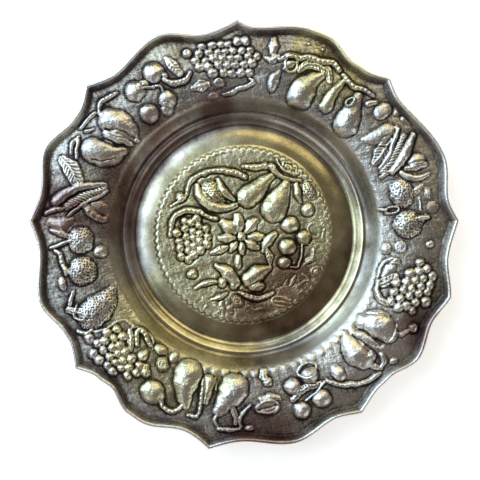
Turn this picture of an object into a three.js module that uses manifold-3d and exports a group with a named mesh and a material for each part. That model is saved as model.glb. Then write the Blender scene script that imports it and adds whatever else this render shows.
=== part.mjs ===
// A round brass tray: one sheet raised into a stepped well and a domed flange, whose scalloped edge is
// rolled over a stiffening wire. Millimetres, +Z up, with the origin on the resting plane under the
// middle of the well.
import * as THREE from 'three';
import { mergeVertices } from 'three/addons/utils/BufferGeometryUtils.js';
import Module from 'manifold-3d';

// ---- Driving dimensions ----
const SHEET = 0.7; // thickness of the brass sheet
const WIRE_RADIUS = 0.75; // wire inside the rolled edge
const WIRE_GAP = 0.25; // free space round the wire
const BEAD_RADIUS = WIRE_RADIUS + WIRE_GAP + SHEET; // outside of the roll
const MEAN_RADIUS = 196; // the section is drawn for a plain round tray of this radius
const BEAD_HEIGHT = 28.3; // centre of the wire above the resting plane
const FOOT_RADIUS = 103.2; // middle of the flat ring that the tray stands on
const FOOT_WIDTH = 4;
const ROUND_RADIUS = 130; // inside this radius every ring is a true circle
const BAND_FOOT = 188.8; // where the upturned band starts, on the plain round tray
const WIRE_SIDES = 8;
const WIRE_JOINT_DEGREES = 349; // where the two ends of the wire meet
const WIRE_JOINT_GAP = 0.6;
const COLUMN_DEGREES = 4.2; // widest step between two columns of the surface

// The top surface of the plain round tray, from the centre to the foot of the upturned band: [radius, height].
const CENTRE_PLATEAU = [
  [0, 3.9],
  [83.6, 3.9],
  [85.4, 3.3],
];
const FLOOR_AND_STEP = [
  [94, 2.5],
  [FOOT_RADIUS - FOOT_WIDTH / 2, SHEET],
  [FOOT_RADIUS + FOOT_WIDTH / 2, SHEET],
  [107, 2],
  [110, 2.7],
  [113.8, 5.4],
  [116.8, 5.4],
];
const WALL_AND_FLANGE = [
  [119.4, 6.9],
  [124, 12],
  [127.6, 16.6],
  [131, 18.8],
  [144, 22.3],
  [160, 24.9],
  [174, 25.1],
  [BAND_FOOT, 23.6],
];

// The scalloped edge, anticlockwise from +X: [degrees, radius, climb]. Climb is how much steeper than a
// straight line the edge climbs at that mark: 0 at a dip or a crown, where it is level, and more at a
// point. Nine points and eight lobes were laid out by hand, and the last two points stand side by side
// with no lobe between them.
const EDGE = [
  [2.8, 200.2, 1.5], [9, 193.1, 0], [20.5, 200.7, 0], [40, 191.4, 0],
  [46.6, 199, 1.5], [53.5, 190.3, 0], [57, 189.9, 0], [67, 201, 0], [72, 201.3, 0], [87, 193.3, 0],
  [92, 200.1, 1.75], [102, 189.9, 0], [114.5, 201.8, 0], [129.3, 191.8, 0],
  [137.6, 201.9, 1.5], [145, 191.6, 0], [147, 191.5, 0], [158, 202, 0], [169.3, 193, 0],
  [177.4, 200.2, 1.75], [186, 191.7, 0], [199.7, 200.4, 0], [210, 191.1, 0], [212, 190.9, 0],
  [219.3, 200.5, 1.3], [225, 191.4, 0], [229.3, 189.4, 0], [237.3, 199.2, 0], [241.5, 200.1, 0], [252.3, 192.1, 0],
  [260.5, 202.8, 1.75], [270, 193.3, 0], [283.5, 200.1, 0], [295.3, 192.1, 0],
  [302.7, 199.3, 1.2], [311, 190.9, 0], [314.5, 190.9, 0], [323.5, 199.9, 0], [333.5, 193.5, 0],
  [342, 201.4, 0.8], [352.5, 191.5, 0],
];

// Each stretch of the edge runs from one mark to the next, and the last one closes the ring.
const STRETCHES = EDGE.map((start, i) => [start, EDGE[i + 1] ?? [EDGE[0][0] + 360, ...EDGE[0].slice(1)]]);

// The radius of the edge at an angle in degrees.
function edgeRadius(degrees) {
  const angle = EDGE[0][0] + THREE.MathUtils.euclideanModulo(degrees - EDGE[0][0], 360);
  const [[startAngle, start, startClimb], [endAngle, end, endClimb]] = STRETCHES.findLast(
    ([mark]) => mark[0] <= angle,
  );
  const t = (angle - startAngle) / (endAngle - startAngle);
  const eased = 3 * t ** 2 - 2 * t ** 3;
  const climbing = startClimb * (t ** 3 - 2 * t ** 2 + t) + endClimb * (t ** 3 - t ** 2);
  return start + (end - start) * (eased + climbing);
}

// How much longer a step across the edge is along the radius than square to the edge.
function edgeStretch(degrees) {
  const step = 0.25;
  const here = edgeRadius(degrees);
  const oneSide = (sign) => {
    const run = THREE.MathUtils.degToRad(step) * here;
    return Math.hypot(1, (edgeRadius(degrees + sign * step) - here) / run);
  };
  return (oneSide(1) + oneSide(-1)) / 2;
}

// The columns stand on every mark of the edge, and evenly between the marks.
function columnAngles() {
  const angles = [];
  STRETCHES.forEach(([[start], [end]]) => {
    const steps = Math.ceil((end - start) / COLUMN_DEGREES);
    for (let k = 0; k < steps; k++) angles.push(start + ((end - start) * k) / steps);
  });
  return [...angles, EDGE[0][0] + 360];
}

// The radius that a ring of the plain round tray has once its rim is pushed out to the scalloped edge.
function scallopedRadius(radius, degrees) {
  const share = THREE.MathUtils.smoothstep(radius, ROUND_RADIUS, BAND_FOOT);
  const atEdge = edgeRadius(degrees) - (MEAN_RADIUS - radius) * edgeStretch(degrees);
  return radius + share * (atEdge - radius);
}

// Spins a section of [radius, height] points about Z, then pushes its rings out to the scalloped edge.
function spinScalloped(section) {
  const angles = columnAngles();
  const points = section.map(([radius, height]) => new THREE.Vector2(radius, height));
  const geometry = new THREE.LatheGeometry(points, angles.length - 1);
  const position = geometry.getAttribute('position');
  angles.forEach((degrees, column) => {
    const turn = THREE.MathUtils.degToRad(column + 1 < angles.length ? degrees : angles[0]);
    section.forEach(([radius, height], row) => {
      const reach = scallopedRadius(radius, degrees);
      position.setXYZ(column * section.length + row, reach * Math.cos(turn), reach * Math.sin(turn), height);
    });
  });
  geometry.computeVertexNormals();
  return geometry;
}

// The line one sheet thickness to the right of a line of points, with its corners mitred.
function underside(line, thickness) {
  return line.map(([x, y], i) => {
    const before = line[Math.max(i - 1, 0)];
    const after = line[Math.min(i + 1, line.length - 1)];
    const square = (from, to) => {
      const length = Math.hypot(to[0] - from[0], to[1] - from[1]) || 1;
      return [(to[1] - from[1]) / length, -(to[0] - from[0]) / length];
    };
    const first = i > 0 ? square(before, [x, y]) : square([x, y], after);
    const second = i + 1 < line.length ? square([x, y], after) : first;
    const mitre = 1 + first[0] * second[0] + first[1] * second[1];
    return [x + (thickness * (first[0] + second[0])) / mitre, y + (thickness * (first[1] + second[1])) / mitre];
  });
}

// An arc about the bead's centre, from one angle to another, as [radius, height] points.
function beadArc(radius, fromDegrees, toDegrees, steps) {
  return Array.from({ length: steps + 1 }, (_, k) => {
    const angle = THREE.MathUtils.degToRad(fromDegrees + ((toDegrees - fromDegrees) * k) / steps);
    const centre = MEAN_RADIUS - BEAD_RADIUS;
    return [centre + radius * Math.cos(angle), BEAD_HEIGHT + radius * Math.sin(angle)];
  });
}

// The sheet's closed section: up the top surface, over and round the wire, and back along the underside.
function sheetSection() {
  const top = [...CENTRE_PLATEAU, ...FLOOR_AND_STEP, ...WALL_AND_FLANGE];
  const rollStart = 150; // the band's top runs into the roll here, seen from the wire
  const rollEnd = -140; // the roll's cut edge, tucked in under the band
  const outside = beadArc(BEAD_RADIUS, rollStart, rollEnd, 7);
  const inside = beadArc(BEAD_RADIUS - SHEET, rollEnd, rollStart, 6);
  const below = underside([...top, outside[0]], SHEET).slice(1, -1).reverse();
  return [...top, ...outside, ...inside, ...below, [0, CENTRE_PLATEAU[0][1] - SHEET]].reverse();
}

function wireSection() {
  return beadArc(WIRE_RADIUS, 0, 360, WIRE_SIDES);
}

function solidOf(wasm, geometry) {
  const bare = geometry.clone();
  bare.deleteAttribute('normal');
  bare.deleteAttribute('uv');
  const merged = mergeVertices(bare);
  return new wasm.Manifold(
    new wasm.Mesh({
      numProp: 3,
      vertProperties: merged.getAttribute('position').array,
      triVerts: new Uint32Array(merged.index.array),
    }),
  );
}

function geometryOf(solid) {
  const mesh = solid.getMesh();
  const geometry = new THREE.BufferGeometry();
  geometry.setAttribute('position', new THREE.BufferAttribute(mesh.vertProperties, mesh.numProp));
  geometry.setIndex(new THREE.BufferAttribute(mesh.triVerts, 1));
  geometry.computeVertexNormals();
  return geometry;
}

// The rim wire is one length bent to the edge, with its two ends meeting under the roll.
function rimWire(wasm) {
  const ring = spinScalloped(wireSection());
  const cut = new THREE.BoxGeometry(8 * BEAD_RADIUS, WIRE_JOINT_GAP, 8 * BEAD_RADIUS);
  const turn = THREE.MathUtils.degToRad(WIRE_JOINT_DEGREES);
  cut.translate(edgeRadius(WIRE_JOINT_DEGREES) - BEAD_RADIUS, 0, BEAD_HEIGHT).rotateZ(turn);
  return geometryOf(solidOf(wasm, ring).subtract(solidOf(wasm, cut)));
}

const agedBrass = new THREE.MeshStandardMaterial({ color: 0xa39a78, roughness: 0.32, metalness: 1 });
const steelWire = new THREE.MeshStandardMaterial({ color: 0x8d8b86, roughness: 0.5, metalness: 1 });

function piece(name, geometry, material) {
  const mesh = new THREE.Mesh(geometry, material);
  mesh.name = name;
  return mesh;
}

const wasm = await Module();
wasm.setup();

const tray = new THREE.Group();
tray.add(piece('tray_sheet', spinScalloped(sheetSection()), agedBrass));
tray.add(piece('rim_wire', rimWire(wasm), steelWire));

export default tray;
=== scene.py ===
"""A worn brass tray, embossed with fruit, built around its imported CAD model.

The sheet is one closed skin: the CAD section, spun and pushed out to the scalloped edge, with every fruit,
leaf and punch mark raised in it from lists of motifs. Its lengths are in millimetres until the mesh is made.
Those of the materials, the lights and the camera are in metres.
"""

import math

import bpy
import numpy as np
from mathutils import Matrix, Vector


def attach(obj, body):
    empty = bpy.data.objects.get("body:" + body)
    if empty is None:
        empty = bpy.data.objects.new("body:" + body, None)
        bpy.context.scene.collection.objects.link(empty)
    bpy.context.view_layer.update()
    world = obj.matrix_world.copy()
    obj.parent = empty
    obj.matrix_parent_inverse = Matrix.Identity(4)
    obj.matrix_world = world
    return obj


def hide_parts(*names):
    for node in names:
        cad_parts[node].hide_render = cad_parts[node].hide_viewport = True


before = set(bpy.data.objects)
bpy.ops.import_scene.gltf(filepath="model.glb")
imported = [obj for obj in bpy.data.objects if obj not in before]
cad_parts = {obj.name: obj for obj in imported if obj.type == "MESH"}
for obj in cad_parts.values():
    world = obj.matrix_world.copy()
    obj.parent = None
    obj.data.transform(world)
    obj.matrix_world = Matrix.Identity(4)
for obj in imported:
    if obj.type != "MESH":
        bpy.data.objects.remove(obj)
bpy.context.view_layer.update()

MM = 0.001

# ---- The plain tray, as in the CAD source ----

SHEET = 0.7
BEAD_RADIUS = 1.7
MEAN_RADIUS = 196
BEAD_HEIGHT = 28.3
ROUND_RADIUS = 130
BAND_FOOT = 188.8
ROLL_START = 150
ROLL_END = -140

# The top of the section: radius, height, and how far the bend there reaches to each side.
SECTION = np.array([
    (0, 3.9, 0), (83.6, 3.9, 0.8), (85.4, 3.3, 0.8), (94, 2.5, 4), (101.2, 0.7, 2), (105.2, 0.7, 0.9),
    (107, 2, 0.9), (110, 2.7, 1.5), (113.8, 5.4, 0.9), (116.8, 5.4, 1.4), (119.4, 6.9, 2.4), (124, 12, 3),
    (127.6, 16.6, 2), (131, 18.8, 4), (144, 22.3, 8), (160, 24.9, 8), (174, 25.1, 7), (BAND_FOOT, 23.6, 1.2),
])

# The scalloped edge, anticlockwise from +X: degrees, radius, and how much steeper than straight it climbs.
EDGE = [
    (2.8, 200.2, 1.5), (9, 193.1, 0), (20.5, 200.7, 0), (40, 191.4, 0),
    (46.6, 199, 1.5), (53.5, 190.3, 0), (57, 189.9, 0), (67, 201, 0), (72, 201.3, 0), (87, 193.3, 0),
    (92, 200.1, 1.75), (102, 189.9, 0), (114.5, 201.8, 0), (129.3, 191.8, 0),
    (137.6, 201.9, 1.5), (145, 191.6, 0), (147, 191.5, 0), (158, 202, 0), (169.3, 193, 0),
    (177.4, 200.2, 1.75), (186, 191.7, 0), (199.7, 200.4, 0), (210, 191.1, 0), (212, 190.9, 0),
    (219.3, 200.5, 1.3), (225, 191.4, 0), (229.3, 189.4, 0),
    (237.3, 199.2, 0), (241.5, 200.1, 0), (252.3, 192.1, 0),
    (260.5, 202.8, 1.75), (270, 193.3, 0), (283.5, 200.1, 0), (295.3, 192.1, 0),
    (302.7, 199.3, 1.2), (311, 190.9, 0), (314.5, 190.9, 0), (323.5, 199.9, 0), (333.5, 193.5, 0),
    (342, 201.4, 0.8), (352.5, 191.5, 0),
]


def edge_radius(degrees):
    """The radius of the scalloped edge at some angles."""
    marks = np.array(EDGE + [(EDGE[0][0] + 360, *EDGE[0][1:])])
    angle = EDGE[0][0] + (degrees - EDGE[0][0]) % 360
    i = np.searchsorted(marks[:, 0], angle, side="right") - 1
    start, end = marks[i].T, marks[i + 1].T
    t = (angle - start[0]) / (end[0] - start[0])
    eased = 3 * t**2 - 2 * t**3
    climbing = start[2] * (t**3 - 2 * t**2 + t) + end[2] * (t**3 - t**2)
    return start[1] + (end[1] - start[1]) * (eased + climbing)


def edge_stretch(degrees):
    """How much longer a step across the edge is along the radius than square to the edge."""
    step = 0.25
    here = edge_radius(degrees)
    run = np.radians(step) * here
    sides = [np.hypot(1, (edge_radius(degrees + sign * step) - here) / run) for sign in (1, -1)]
    return sum(sides) / 2


def smoothstep(value, low, high):
    t = np.clip((value - low) / (high - low), 0, 1)
    return t * t * (3 - 2 * t)


# ---- Relief: how far the embossing stands above the plain sheet ----


def nearest(line, x, y):
    """For each point: its distance from a line, how far along it lies, and its signed offset to the side."""
    distance = np.full(x.shape, np.inf)
    place = np.zeros(x.shape)
    side = np.zeros(x.shape)
    start = 0.0
    for (ax, ay), (bx, by) in zip(line[:-1], line[1:]):
        length = math.hypot(bx - ax, by - ay)
        dx, dy = (bx - ax) / length, (by - ay) / length
        along = np.clip((x - ax) * dx + (y - ay) * dy, 0, length)
        off_x, off_y = x - ax - along * dx, y - ay - along * dy
        far = np.hypot(off_x, off_y)
        closer = far < distance
        distance[closer] = far[closer]
        place[closer] = start + along[closer]
        side[closer] = (dx * off_y - dy * off_x)[closer]
        start += length
    return distance, place, side, start


def smooth_line(points, samples=5):
    """A Catmull-Rom curve through some points."""
    p = np.asarray(points, float)
    if len(p) < 3:
        return p
    padded = np.vstack([2 * p[0] - p[1], p, 2 * p[-1] - p[-2]])
    curve = [p[0]]
    for a, b, c, d in zip(padded[:-3], padded[1:-2], padded[2:-1], padded[3:]):
        for t in np.arange(1, samples + 1) / samples:
            curve.append(0.5 * (2 * b + (c - a) * t + (2 * a - 5 * b + 4 * c - d) * t**2
                                + (3 * b - a - 3 * c + d) * t**3))
    return np.array(curve)


def hashed(i, j, seed):
    """A number from 0 to 1 for each cell of a grid, always the same for the same cell."""
    # Large factors make cells that lie side by side differ.
    value = np.sin(i * 127.1 + j * 311.7 + seed * 74.7) * 43758.5453
    return value - np.floor(value)


MARK_MARGIN = 0.15  # a punch mark stays this share of the pitch inside its cell
MARK_SIZE = 0.28  # the reach of a mark, as a share of the pitch


def punch_marks(x, y, pitch):
    """1 in the middle of each mark of a matting punch, falling to 0 round it."""
    spread = 1 - 2 * MARK_MARGIN
    column, row = np.floor(x / pitch), np.floor(y / pitch)
    nearest_mark = np.full(x.shape, np.inf)
    for di in (-1, 0, 1):
        for dj in (-1, 0, 1):
            i, j = column + di, row + dj
            mark_x = (i + MARK_MARGIN + spread * hashed(i, j, 1)) * pitch
            mark_y = (j + MARK_MARGIN + spread * hashed(i, j, 2)) * pitch
            nearest_mark = np.minimum(nearest_mark, np.hypot(x - mark_x, y - mark_y))
    return np.exp(-((nearest_mark / (MARK_SIZE * pitch)) ** 2))


def uneven(x, y, size):
    """Slow unevenness from -1 to 1, as hammered sheet has."""
    a = np.sin(x / size + 1.3 * np.sin(y / size * 0.8 + 0.5)) * np.cos(y / size * 1.1 + 2.1)
    b = np.sin((x - 0.7 * y) / size * 1.7 + 4.0) * np.cos((y + 0.6 * x) / size * 1.5 + 1.0)
    return 0.6 * a + 0.4 * b


STRAY = ((0.7, 4.0), (0.2, 1.7))  # how far hand work strays from its drawing, and over what distance
STRAY_SHIFT = 40  # keeps the straying along Y apart from that along X
GROOVE_DEPTH = 0.35
GROOVE_PLACE = 0.8  # from the foot of a body to the middle of the groove chased round it
GROOVE_END = 3  # how far from a body's middle its groove can lie, in half-widths
SWELL = 0.7  # under 1, so that bodies rise steeply at the foot and are flatter on top
FADE_WIDTHS = 3  # a chased line or loop has faded out at this many of its widths
ROPE_PITCH = 4.4
BEAD_PITCH = 6.5
HATCH_PITCH = 3.2
VEIN_PITCH = 3.6
GROUND_PITCH = 2.0  # between the marks of the matting punch
GROUND_DEPTH = 0.2
FRUIT_PITCH = 2.5  # between the dots on a stippled fruit
FRUIT_DEPTH = 0.6
FLANGE_GRIME = 0.2  # dirt left in the flange's matted ground
MEDALLION_GRIME = 0.1  # and in the medallion's
PIT_GRIME = 0.9  # dirt left in each dot on a stippled fruit
EMBOSSING = 1.2  # the share of its listed height that every motif stands
BLEND = 0.7  # two bodies run into each other where their heights differ by less than this


def blended(a, b):
    """The higher of two heights, with the corner between them filled."""
    return np.maximum(a, b) + BLEND / 4 * np.maximum(0, 1 - np.abs(a - b) / BLEND) ** 2


def stray(x, y):
    """How far hand work strays at some places."""
    return sum(far * uneven(x, y, size) for far, size in STRAY)


def swell(q):
    """The height across a body: 1 in its middle, where q is 0, and 0 at its foot, where q is 1."""
    return (1 - np.minimum(q, 1) ** 2) ** SWELL


def rippled(depth, wave):
    """A share of the height that dips by the depth where the wave is 0."""
    return 1 - depth + depth * wave


def groove_room(half_size):
    """How far from the middle of a body its groove can still be felt."""
    return 1.3 * half_size + 2


class Relief:
    """Heights over a set of points, raised by one motif after another."""

    def __init__(self, x, y):
        self.x = x + stray(x, y)
        self.y = y + stray(y + STRAY_SHIFT, x)
        self.height = np.zeros(x.shape)
        self.stippled = np.zeros(x.shape)

    def near(self, line, reach):
        """The points within reach of a line's box."""
        low, high = np.min(line, axis=0) - reach, np.max(line, axis=0) + reach
        inside = (self.x > low[0]) & (self.x < high[0]) & (self.y > low[1]) & (self.y < high[1])
        return np.flatnonzero(inside)

    def put(self, near, q, width, body, stippled):
        """Raises a body where q is under 1, with a chased groove just outside it."""
        height = self.height[near]
        gap = (q - 1) * width
        groove = GROOVE_DEPTH * np.exp(-((gap - GROOVE_PLACE) ** 2))
        self.height[near] = np.where(q < 1, blended(height, body), height - groove * (q < GROOVE_END))
        covered = (q < 1) & (body > height)
        self.stippled[near] = np.where(covered, stippled, self.stippled[near])

    def dome(self, centre, radii, turn, top, finish="smooth"):
        """A round or oval body."""
        near = self.near([centre], groove_room(max(radii)))
        dx, dy = self.x[near] - centre[0], self.y[near] - centre[1]
        u = (dx * math.cos(turn) + dy * math.sin(turn)) / radii[0]
        v = (dy * math.cos(turn) - dx * math.sin(turn)) / radii[1]
        q = np.hypot(u, v)
        self.put(near, q, min(radii), top * swell(q), float(finish == "stippled"))

    def sweep(self, points, widths, top, finish="smooth"):
        """A body along a line, whose half-width runs through a list of widths."""
        line = smooth_line(points)
        near = self.near(line, groove_room(max(widths)))
        distance, place, side, length = nearest(line, self.x[near], self.y[near])
        width = np.interp(place / length, np.linspace(0, 1, len(widths)), widths)
        q = distance / width
        relative = (width / max(widths)) ** 0.8
        body = top * relative * swell(q)
        if finish == "roped":
            body *= rippled(0.16, np.abs(np.cos(math.pi * place / ROPE_PITCH)))
        elif finish == "beaded":
            body *= rippled(0.22, np.abs(np.cos(math.pi * place / BEAD_PITCH)))
        elif finish == "hatched":
            body *= rippled(0.18, np.cos(2 * math.pi * (place + 0.8 * side) / HATCH_PITCH))
        elif finish == "petal":
            body *= rippled(0.18, np.exp(-((side / 1.2) ** 2)))
        elif finish == "veined":
            edge = smoothstep(q, 1.0, 0.8)
            midrib = np.exp(-((side / 0.9) ** 2))
            veins = np.cos(2 * math.pi * (place - 0.9 * np.abs(side)) / VEIN_PITCH)
            body = top * edge * relative * (0.62 + 0.38 * midrib + 0.2 * q**2 + 0.12 * veins * (1 - midrib))
        self.put(near, q, width, body, float(finish == "stippled"))

    def line(self, points, width, depth):
        """A chased line, cut in when depth is negative and raised when it is positive."""
        line = smooth_line(points)
        near = self.near(line, FADE_WIDTHS * width)
        distance, _, _, _ = nearest(line, self.x[near], self.y[near])
        self.height[near] += depth * np.exp(-((distance / width) ** 2))

    def ring(self, centre, radii, turn, width, height):
        """A raised loop."""
        angles = np.linspace(0, 2 * math.pi, 25)
        u, v = radii[0] * np.cos(angles), radii[1] * np.sin(angles)
        points = np.column_stack([
            centre[0] + u * math.cos(turn) - v * math.sin(turn),
            centre[1] + u * math.sin(turn) + v * math.cos(turn),
        ])
        near = self.near(points, FADE_WIDTHS * width)
        distance, _, _, _ = nearest(points, self.x[near], self.y[near])
        body = height * np.exp(-((distance / width) ** 2))
        self.height[near] = np.maximum(self.height[near], 0) + body


def at(degrees, radius):
    """The place at an angle and a radius from the tray's middle."""
    return radius * math.cos(math.radians(degrees)), radius * math.sin(math.radians(degrees))


# Round and oval fruits on the flange: degrees, radius, half-size across and along the radius, height, and the
# finish where it isn't smooth.
FLANGE_DOMES = [
    (2.5, 153, 13.4, 13.6, 5.0, "stippled"),
    (13.8, 152, 14.6, 11.4, 4.8, "stippled"),
    (22.2, 175, 7.5, 9, 2.4),
    (11.7, 176, 5.5, 3.8, 2.0),
    (7.3, 178, 5.5, 5.5, 0.9),
    (354.2, 147, 6, 6, 1.6),
    (356, 174, 4, 4, 2.2),
    (353.1, 134, 5.6, 4.7, 1.7, "hatched"),
    (348.7, 143, 3.9, 6, 1.9),
    (34.2, 173, 3.2, 3.2, 2.0),
    (38.1, 183, 4, 4, 0.9),
    (41.1, 173, 7.5, 10, 2.6),
    (70.9, 188, 1.6, 1.6, 1.0),
    (66.8, 188, 1.6, 1.6, 1.0),
    (99.9, 143, 5.3, 5.3, 1.7),
    (103, 132, 5.6, 3.9, 1.7),
    (108.1, 177, 4.7, 4.7, 2.4),
    (120.1, 172.5, 10.3, 10.5, 4.6),
    (128.2, 167.5, 10.2, 10.2, 4.6),
    (117.2, 165, 3.3, 3.3, 3.0),
    (124.8, 168, 3.5, 3.5, 2.4),
    (120.5, 144, 8.6, 8.6, 4.2),
    (122.5, 136.5, 6, 6, 2.6),
    (129.1, 143, 9.2, 9.2, 4.4),
    (183.3, 153, 13.2, 12.4, 5.0, "stippled"),
    (188.1, 136, 6.4, 6.8, 3.2),
    (193.9, 155.5, 14, 13.4, 5.2, "stippled"),
    (196.2, 176, 6.5, 3.8, 1.9, "hatched"),
    (230.8, 149, 5, 6, 2.6),
    (234, 156, 4, 4, 2.4),
    (234.7, 135, 7, 4.7, 1.9, "hatched"),
    (238.3, 145, 6.6, 6.6, 3.2),
    (240.3, 171.5, 12, 10.8, 4.6),
    (240.6, 134, 4, 5.6, 1.5),
    (271.2, 182, 4.5, 3.2, 1.6),
    (277.2, 164, 12, 7, 1.8),
    (278.4, 141, 4.8, 4.8, 2.2),
    (287, 150.5, 8.4, 8.2, 4.4),
    (294.1, 147, 8.8, 7.8, 4.2),
    (294.6, 170.5, 9, 9, 4.4),
    (287.7, 174, 8.4, 8.4, 4.2),
    (303.2, 158, 6.2, 8.6, 3.4),
    (315.1, 164, 5.6, 5.6, 5.4),
    (330.1, 181, 5.2, 5.2, 2.2),
    (318.7, 183.5, 4, 3.4, 1.5, "stippled"),
]

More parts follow.
